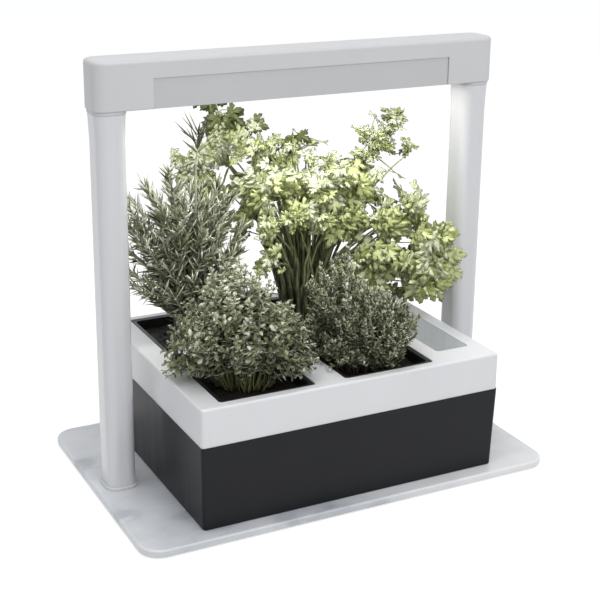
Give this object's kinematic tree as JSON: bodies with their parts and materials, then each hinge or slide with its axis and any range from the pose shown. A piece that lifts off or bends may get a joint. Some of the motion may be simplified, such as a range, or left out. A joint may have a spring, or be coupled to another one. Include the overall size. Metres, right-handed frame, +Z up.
{
  "type": "indoor herb planter with grow light",
  "caption": "Indoor herb planter: a water box with a pot tray, a filling slot and herbs in lift-out pots, under an LED lamp beam on two posts over a flat base plate.",
  "frame": {"origin": "on the surface the rubber feet stand on, under the middle of the base plate", "axes": "+X along the light beam to the right seen from the front, +Y to the back, +Z up; the planter slides out towards -Y"},
  "size_m": [0.494, 0.318, 0.479],
  "materials": {
    "plate_grey": "matte",
    "foot_rubber": "matte",
    "screw_steel": "satin",
    "light_grey": "satin",
    "post_grey": "satin",
    "lamp_grey": "satin",
    "diffuser_white": "satin",
    "board_white": "satin",
    "led_emitter": "gloss",
    "board_green": "satin",
    "white_nylon": "satin",
    "component_black": "satin",
    "lead_red": "satin",
    "pin_brass": "polished",
    "button_grey": "satin",
    "charcoal": "matte",
    "tray_white": "satin",
    "pot_black": "satin",
    "soil": "matte",
    "wick_fibre": "matte",
    "rosemary_leaf": "matte",
    "thyme_leaf": "matte",
    "savory_leaf": "matte",
    "parsley_leaf": "matte"
  },
  "bodies": {
    "stand": {"base_plate": "plate_grey", "rubber_feet": "foot_rubber", "socket_screws": "screw_steel", "plug_screws": "screw_steel", "lamp_screws": "screw_steel", "beam_housing": "light_grey", "beam_lid": "light_grey", "lamp_profile": "lamp_grey", "diffuser": "diffuser_white", "led_board": "board_white", "led_chips": "led_emitter", "driver_board": "board_green", "driver_spacers": "white_nylon", "driver_components": "component_black", "led_leads": "lead_red", "inlet_jack": "component_black", "inlet_pin": "pin_brass", "power_switch": "component_black", "left_foot_socket": "light_grey", "left_head_plug": "light_grey", "left_post": "post_grey", "left_lamp_end": "lamp_grey", "right_foot_socket": "light_grey", "right_head_plug": "light_grey", "right_post": "post_grey", "right_lamp_end": "lamp_grey"},
    "button": {"power_button": "button_grey", "switch_plunger": "white_nylon"},
    "box": {"planter_box": "charcoal"},
    "tray": {"top_tray": "tray_white"},
    "front_left_herb": {"front_left_pot": "pot_black", "front_left_soil": "soil", "front_left_wick": "wick_fibre", "thyme": "thyme_leaf"},
    "front_right_herb": {"front_right_pot": "pot_black", "front_right_soil": "soil", "front_right_wick": "wick_fibre", "savory": "savory_leaf"},
    "back_left_herb": {"back_left_pot": "pot_black", "back_left_soil": "soil", "back_left_wick": "wick_fibre", "rosemary": "rosemary_leaf"},
    "back_right_herb": {"back_right_pot": "pot_black", "back_right_soil": "soil", "back_right_wick": "wick_fibre", "parsley": "parsley_leaf"}
  },
  "joints": [
    {"name": "planter_slide", "type": "slide", "parent": "stand", "child": "box", "axis": [0, -1, 0], "range_m": [0, 0.31]},
    {"name": "tray_lift", "type": "slide", "parent": "box", "child": "tray", "axis": [0, 0, 1], "range_m": [0, 0.06]},
    {"name": "front_left_lift", "type": "slide", "parent": "tray", "child": "front_left_herb", "axis": [0, 0, 1], "range_m": [0, 0.135]},
    {"name": "front_right_lift", "type": "slide", "parent": "tray", "child": "front_right_herb", "axis": [0, 0, 1], "range_m": [0, 0.135]},
    {"name": "back_left_lift", "type": "slide", "parent": "tray", "child": "back_left_herb", "axis": [0, 0, 1], "range_m": [0, 0.135]},
    {"name": "back_right_lift", "type": "slide", "parent": "tray", "child": "back_right_herb", "axis": [0, 0, 1], "range_m": [0, 0.135]},
    {"name": "button_press", "type": "slide", "parent": "stand", "child": "button", "axis": [0, -1, 0], "range_m": [0, 0.001], "stiffness_N_per_m": 500, "springref_m": -0.0006}
  ]
}
